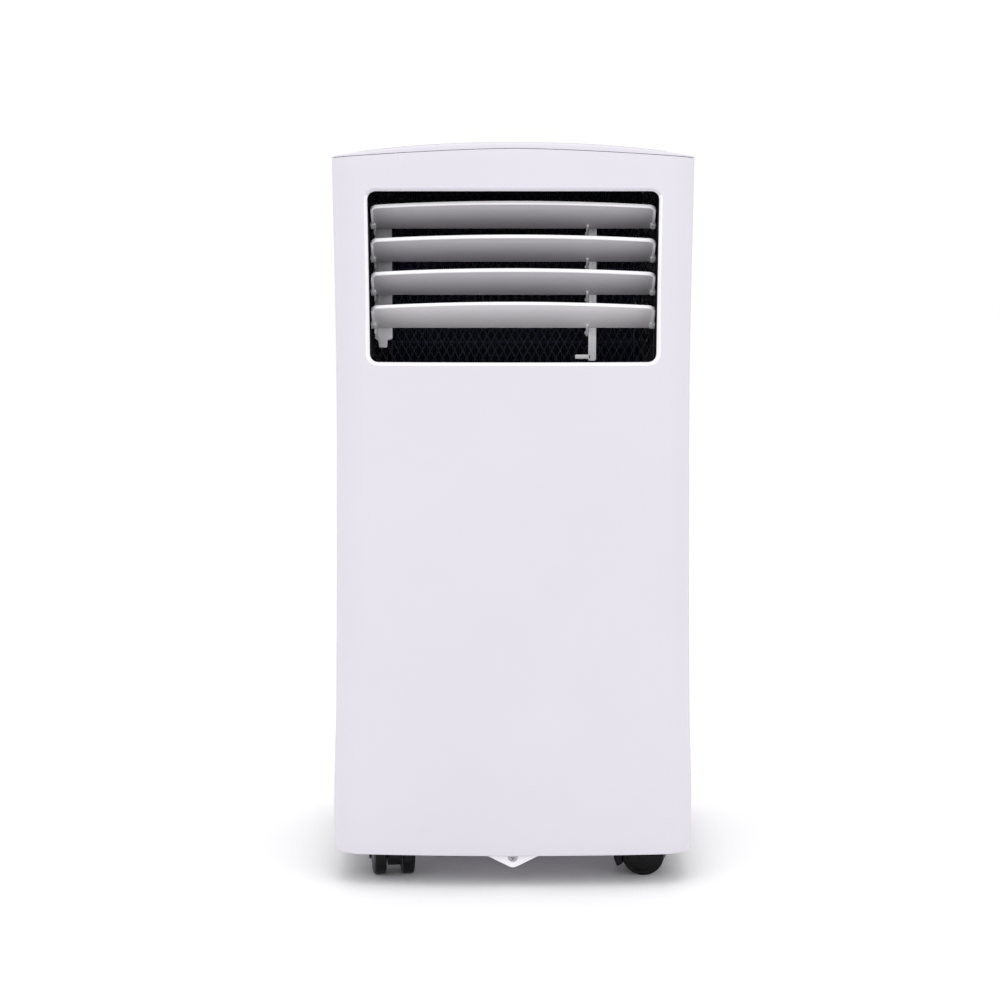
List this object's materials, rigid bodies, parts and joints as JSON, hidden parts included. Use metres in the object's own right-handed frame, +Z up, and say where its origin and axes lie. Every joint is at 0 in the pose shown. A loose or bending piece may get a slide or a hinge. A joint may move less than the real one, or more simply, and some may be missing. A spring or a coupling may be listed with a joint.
{
  "type": "portable air conditioner",
  "caption": "Upright cabinet on swivel casters with a tilting linked-louver air outlet at the front, push-button top panel, rear intake grilles and a rear exhaust collar.",
  "frame": {"origin": "on the floor under the centre of the object's box", "axes": "+Z up, front faces -Y, +X to the viewer's right when facing the front"},
  "size_m": [0.35, 0.355, 0.7155],
  "materials": {
    "cabinet_white": "satin moulded plastic with a fine texture",
    "louver_white": "satin moulded plastic",
    "link_white": "smooth moulded plastic",
    "vent_grey": "moulded plastic",
    "guard_wire": "plated wire mesh",
    "fin_blue": "blue coated fins",
    "fin_aluminium": "bare fins",
    "panel_black": "glossy",
    "display_black": "glossy, smoked",
    "button_grey": "satin",
    "caster_black": "glossy moulded nylon",
    "screw_steel": "zinc plated",
    "motor_steel": "galvanised",
    "blower_black": "moulded",
    "compressor_black": "satin enamel",
    "rubber_black": "moulded",
    "board_green": "solder mask",
    "copper": "drawn copper tube",
    "filter_mesh": "woven nylon mesh in a frame"
  },
  "bodies": {
    "cabinet": {"front_panel": "cabinet_white", "rear_shell": "cabinet_white", "top_cover": "cabinet_white", "base_pan": "cabinet_white", "exhaust_flange": "cabinet_white", "louver_frame": "vent_grey", "drain_tray": "vent_grey", "upper_blower_housing": "vent_grey", "lower_blower_housing": "vent_grey", "exhaust_duct": "vent_grey", "outlet_guard": "guard_wire", "evaporator_coil": "fin_blue", "condenser_coil": "fin_aluminium", "control_panel": "panel_black", "display_window": "display_black", "front_tab_screw": "screw_steel", "swing_motor": "motor_steel", "upper_blower_motor": "motor_steel", "lower_blower_motor": "motor_steel", "slinger_motor": "motor_steel", "electrical_box": "motor_steel", "capacitor": "motor_steel", "compressor": "compressor_black", "accumulator": "compressor_black", "compressor_grommet_1": "rubber_black", "compressor_grommet_2": "rubber_black", "compressor_grommet_3": "rubber_black", "cord_gland": "rubber_black", "circuit_board": "board_green", "discharge_pipe": "copper", "suction_pipe": "copper"},
    "louver_1": {"louver_1": "louver_white"},
    "louver_2": {"louver_2": "louver_white"},
    "louver_3": {"louver_3": "louver_white"},
    "louver_4": {"louver_4": "louver_white"},
    "link_bar": {"louver_link_bar": "link_white"},
    "button_power": {"button_power": "button_grey"},
    "button_mode": {"button_mode": "button_grey"},
    "button_fan": {"button_fan": "button_grey"},
    "button_timer": {"button_timer": "button_grey"},
    "button_up": {"button_up": "button_grey"},
    "button_down": {"button_down": "button_grey"},
    "caster_front_left": {"caster_hood_front_left": "caster_black"},
    "wheel_front_left": {"caster_wheel_front_left": "caster_black"},
    "caster_front_right": {"caster_hood_front_right": "caster_black"},
    "wheel_front_right": {"caster_wheel_front_right": "caster_black"},
    "caster_rear_left": {"caster_hood_rear_left": "caster_black"},
    "wheel_rear_left": {"caster_wheel_rear_left": "caster_black"},
    "caster_rear_right": {"caster_hood_rear_right": "caster_black"},
    "wheel_rear_right": {"caster_wheel_rear_right": "caster_black"},
    "upper_blower_wheel": {"upper_blower_wheel": "blower_black"},
    "lower_blower_wheel": {"lower_blower_wheel": "blower_black"},
    "slinger_wheel": {"slinger_wheel": "blower_black"},
    "upper_intake": {"upper_grille": "cabinet_white", "upper_filter": "filter_mesh"},
    "lower_intake": {"lower_grille": "cabinet_white", "lower_filter": "filter_mesh"},
    "drain_cap_upper": {"drain_cap_upper": "rubber_black"},
    "drain_cap_lower": {"drain_cap_lower": "rubber_black"}
  },
  "joints": [
    {"name": "louver_1_tilt", "type": "hinge", "parent": "cabinet", "child": "louver_1", "pos_m": [0, -0.13, 0.6375], "axis": [-1, 0, 0], "range_deg": [-58, 28]},
    {"name": "louver_2_tilt", "type": "hinge", "parent": "cabinet", "child": "louver_2", "pos_m": [0, -0.13, 0.6058], "axis": [-1, 0, 0], "range_deg": [-58, 28]},
    {"name": "louver_3_tilt", "type": "hinge", "parent": "cabinet", "child": "louver_3", "pos_m": [0, -0.13, 0.5741], "axis": [-1, 0, 0], "range_deg": [-58, 28]},
    {"name": "louver_4_tilt", "type": "hinge", "parent": "cabinet", "child": "louver_4", "pos_m": [0, -0.13, 0.5424], "axis": [-1, 0, 0], "range_deg": [-58, 28]},
    {"name": "link_bar_pivot", "type": "hinge", "parent": "louver_1", "child": "link_bar", "pos_m": [0.0767, -0.11756, 0.62911], "axis": [-1, 0, 0], "range_deg": [-28, 58]},
    {"name": "button_power_press", "type": "slide", "parent": "cabinet", "child": "button_power", "axis": [0, 0, -1], "range_m": [0, 0.0012], "stiffness_N_per_m": 400, "springref_m": -0.0005},
    {"name": "button_mode_press", "type": "slide", "parent": "cabinet", "child": "button_mode", "axis": [0, 0, -1], "range_m": [0, 0.0012], "stiffness_N_per_m": 400, "springref_m": -0.0005},
    {"name": "button_fan_press", "type": "slide", "parent": "cabinet", "child": "button_fan", "axis": [0, 0, -1], "range_m": [0, 0.0012], "stiffness_N_per_m": 400, "springref_m": -0.0005},
    {"name": "button_timer_press", "type": "slide", "parent": "cabinet", "child": "button_timer", "axis": [0, 0, -1], "range_m": [0, 0.0012], "stiffness_N_per_m": 400, "springref_m": -0.0005},
    {"name": "button_up_press", "type": "slide", "parent": "cabinet", "child": "button_up", "axis": [0, 0, -1], "range_m": [0, 0.0012], "stiffness_N_per_m": 400, "springref_m": -0.0005},
    {"name": "button_down_press", "type": "slide", "parent": "cabinet", "child": "button_down", "axis": [0, 0, -1], "range_m": [0, 0.0012], "stiffness_N_per_m": 400, "springref_m": -0.0005},
    {"name": "caster_front_left_swivel", "type": "hinge", "parent": "cabinet", "child": "caster_front_left", "pos_m": [-0.12, -0.112, 0.05], "axis": [0, 0, 1], "continuous": true},
    {"name": "wheel_front_left_roll", "type": "hinge", "parent": "caster_front_left", "child": "wheel_front_left", "pos_m": [-0.1182, -0.12336, 0.021], "axis": [0.9877, 0.1564, 0], "continuous": true},
    {"name": "caster_front_right_swivel", "type": "hinge", "parent": "cabinet", "child": "caster_front_right", "pos_m": [0.12, -0.112, 0.05], "axis": [0, 0, 1], "continuous": true},
    {"name": "wheel_front_right_roll", "type": "hinge", "parent": "caster_front_right", "child": "wheel_front_right", "pos_m": [0.13132, -0.114, 0.021], "axis": [0.1736, 0.9848, 0], "continuous": true},
    {"name": "caster_rear_left_swivel", "type": "hinge", "parent": "cabinet", "child": "caster_rear_left", "pos_m": [-0.12, 0.098, 0.05], "axis": [0, 0, 1], "continuous": true},
    {"name": "wheel_rear_left_roll", "type": "hinge", "parent": "caster_rear_left", "child": "wheel_rear_left", "pos_m": [-0.12996, 0.10375, 0.021], "axis": [-0.5, -0.866, 0], "continuous": true},
    {"name": "caster_rear_right_swivel", "type": "hinge", "parent": "cabinet", "child": "caster_rear_right", "pos_m": [0.12, 0.098, 0.05], "axis": [0, 0, 1], "continuous": true},
    {"name": "wheel_rear_right_roll", "type": "hinge", "parent": "caster_rear_right", "child": "wheel_rear_right", "pos_m": [0.12881, 0.10539, 0.021], "axis": [-0.6428, 0.766, 0], "continuous": true},
    {"name": "upper_blower_spin", "type": "hinge", "parent": "cabinet", "child": "upper_blower_wheel", "pos_m": [0, 0.046, 0.5525], "axis": [1, 0, 0], "continuous": true},
    {"name": "lower_blower_spin", "type": "hinge", "parent": "cabinet", "child": "lower_blower_wheel", "pos_m": [-0.042, 0.063, 0.1905], "axis": [0, 1, 0], "continuous": true},
    {"name": "slinger_spin", "type": "hinge", "parent": "cabinet", "child": "slinger_wheel", "pos_m": [0.098, 0.1, 0.1125], "axis": [0, 1, 0], "continuous": true},
    {"name": "upper_intake_pull", "type": "slide", "parent": "cabinet", "child": "upper_intake", "axis": [0, 1, 0], "range_m": [0, 0.03]},
    {"name": "drain_cap_upper_pull", "type": "slide", "parent": "cabinet", "child": "drain_cap_upper", "axis": [0, 1, 0], "range_m": [0, 0.02]},
    {"name": "lower_intake_pull", "type": "slide", "parent": "cabinet", "child": "lower_intake", "axis": [0, 1, 0], "range_m": [0, 0.03]},
    {"name": "drain_cap_lower_pull", "type": "slide", "parent": "cabinet", "child": "drain_cap_lower", "axis": [0, 1, 0], "range_m": [0, 0.02]}
  ],
  "couplings": [
    {"joint": "louver_2_tilt", "follows": "louver_1_tilt", "ratio": 1},
    {"joint": "louver_3_tilt", "follows": "louver_1_tilt", "ratio": 1},
    {"joint": "louver_4_tilt", "follows": "louver_1_tilt", "ratio": 1},
    {"joint": "link_bar_pivot", "follows": "louver_1_tilt", "ratio": -1}
  ]
}
